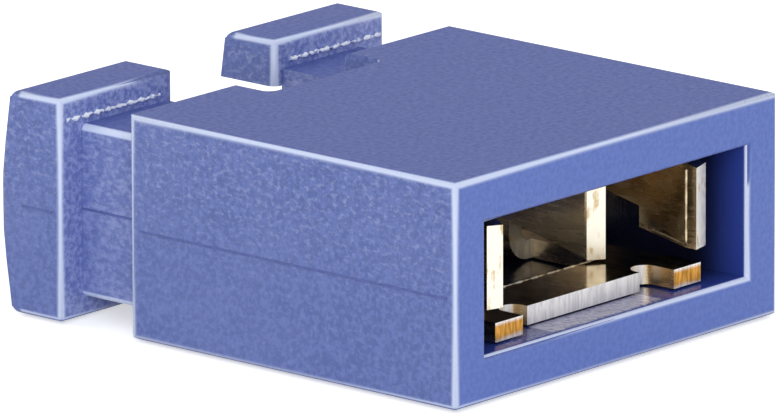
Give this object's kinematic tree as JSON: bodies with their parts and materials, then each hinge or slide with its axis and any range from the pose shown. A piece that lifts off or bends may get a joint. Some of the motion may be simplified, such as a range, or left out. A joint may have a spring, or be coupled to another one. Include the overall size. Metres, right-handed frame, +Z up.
{
  "type": "jumper shunt",
  "caption": "Open-ended moulded jumper shunt with notched grip ears and a folded contact that bridges two neighbouring posts of a 2.54 mm pin header.",
  "frame": {"origin": "middle of the underside's bounding box, on the surface that the shunt lies on", "axes": "+Y from the mouth towards the grip ears, +X across the two posts, +Z up from the contact's base to the roof"},
  "size_m": [0.005, 0.0062, 0.0023],
  "materials": {
    "housing": "moulded satin blue with a fine spark-eroded grain on the sides",
    "contact": "flash gold plating over sheet, bare copper where it was snapped off its strip"
  },
  "bodies": {
    "root": {"housing": "housing", "contact": "contact"}
  },
  "joints": []
}
